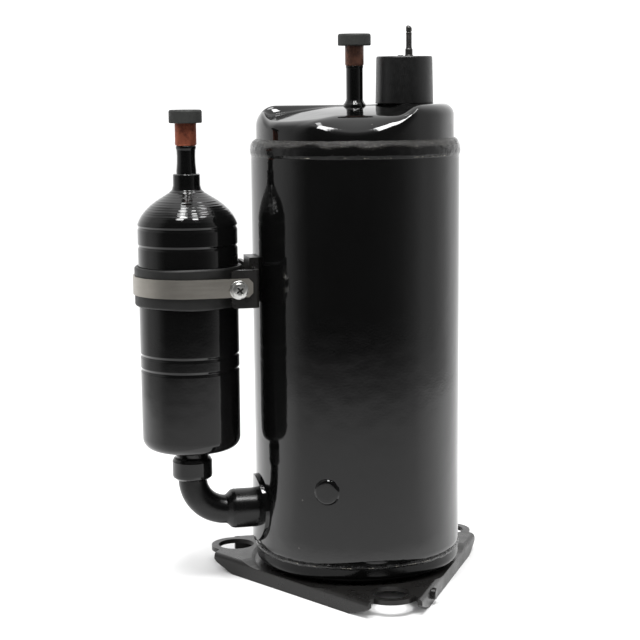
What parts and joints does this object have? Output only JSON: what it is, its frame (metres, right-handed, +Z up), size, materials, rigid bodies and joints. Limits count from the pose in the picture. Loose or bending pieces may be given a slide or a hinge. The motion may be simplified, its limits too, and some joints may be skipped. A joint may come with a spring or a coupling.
{
  "type": "rotary refrigeration compressor",
  "caption": "Upright hermetic rotary compressor with side accumulator, capped copper ports, covered electric terminal and three-hole foot plate.",
  "frame": {"origin": "centre of the three foot holes, on the underside of the foot plate's pads", "axes": "+Z up along the shell axis; -X towards the accumulator; +X towards the electric terminal"},
  "size_m": [0.1975, 0.1436, 0.2995],
  "materials": {
    "shell_paint": "gloss black stove enamel",
    "plate_paint": "satin black stove enamel",
    "weld_metal": "painted weld bead",
    "copper_suction": "annealed copper",
    "copper_discharge": "heat-stained copper",
    "copper_liner": "copper",
    "cap_rubber": "matte grey rubber",
    "band_rubber": "black rubber",
    "cover_plastic": "fine-textured black plastic",
    "strap_steel": "dull stainless",
    "zinc": "bright zinc plate",
    "dark_steel": "black oxide",
    "machined_steel": "ground",
    "iron": "machined grey iron",
    "pressed_steel": "pressed sheet",
    "lamination": "blued laminations",
    "winding": "enamelled copper wire",
    "cage": "die cast",
    "weight": "cast brass",
    "glass_seal": "fused glass",
    "lead": "insulation sleeve",
    "connector": "moulded",
    "spring_steel": "spring wire"
  },
  "bodies": {
    "housing": {"accumulator_baffle": "pressed_steel", "accumulator_inlet": "shell_paint", "accumulator_screen": "pressed_steel", "accumulator_shell": "shell_paint", "bearing_bolts": "dark_steel", "bottom_cap": "shell_paint", "bottom_weld": "weld_metal", "clamp_nut": "zinc", "clamp_screw": "zinc", "clamp_strap": "strap_steel", "cylinder_block": "iron", "discharge_braze": "weld_metal", "discharge_stub": "copper_discharge", "discharge_tube": "shell_paint", "earth_stud": "plate_paint", "foot_plate": "plate_paint", "holder_bracket": "plate_paint", "lead_connector": "connector", "lead_wires": "lead", "main_bearing": "iron", "main_winding": "winding", "muffler_cover": "pressed_steel", "outlet_ferrule": "shell_paint", "plug_welds": "shell_paint", "rubber_band": "band_rubber", "shell_tube": "shell_paint", "spring_plug": "pressed_steel", "standpipe": "copper_liner", "start_winding": "winding", "stator_core": "lamination", "sub_bearing": "iron", "suction_collar": "shell_paint", "suction_elbow": "shell_paint", "suction_liner": "copper_liner", "suction_sleeve": "shell_paint", "suction_stub": "copper_suction", "terminal_body": "pressed_steel", "terminal_gasket": "band_rubber", "terminal_glass": "glass_seal", "terminal_pins": "machined_steel", "terminal_stud": "dark_steel", "top_cap": "shell_paint", "top_weld": "weld_metal", "valve_rivet": "machined_steel", "valve_stop": "pressed_steel", "vane_spring": "spring_steel"},
    "shaft": {"crankshaft": "machined_steel", "rotor_core": "lamination", "rotor_cage": "cage", "balance_weight_low": "weight", "balance_weight_top": "weight", "rotor_rivets": "machined_steel", "oil_separator": "pressed_steel", "oil_paddle": "pressed_steel"},
    "roller": {"roller": "machined_steel"},
    "vane": {"vane": "machined_steel"},
    "reed": {"discharge_reed": "spring_steel"},
    "discharge_plug": {"discharge_cap": "cap_rubber"},
    "suction_plug": {"suction_cap": "cap_rubber"},
    "cover": {"terminal_cover": "cover_plastic"}
  },
  "joints": [
    {"name": "shaft_spin", "type": "hinge", "parent": "housing", "child": "shaft", "pos_m": [0, 0, 0.062], "axis": [0, 0, 1], "continuous": true},
    {"name": "roller_spin", "type": "hinge", "parent": "shaft", "child": "roller", "pos_m": [0.00129, -0.00483, 0.0333], "axis": [0, 0, 1], "continuous": true},
    {"name": "vane_slide", "type": "slide", "parent": "housing", "child": "vane", "axis": [-0.866, 0.5, 0], "range_m": [-0.0088, 0], "deforming": ["vane_spring"]},
    {"name": "reed_flex", "type": "hinge", "parent": "housing", "child": "reed", "pos_m": [-0.02813, 0.00225, 0.0503], "axis": [0.6691, -0.7431, 0], "range_deg": [0, 3.5], "stiffness_Nm_per_rad": 0.02},
    {"name": "discharge_cap_pull", "type": "slide", "parent": "housing", "child": "discharge_plug", "axis": [0, 0, 1], "range_m": [0, 0.03]},
    {"name": "suction_cap_pull", "type": "slide", "parent": "housing", "child": "suction_plug", "axis": [0, 0, 1], "range_m": [0, 0.03]},
    {"name": "terminal_cover_lift", "type": "slide", "parent": "housing", "child": "cover", "axis": [0, 0, 1], "range_m": [0, 0.045]}
  ],
  "couplings": [
    {"joint": "roller_spin", "follows": "shaft_spin", "ratio": -1.2979}
  ]
}
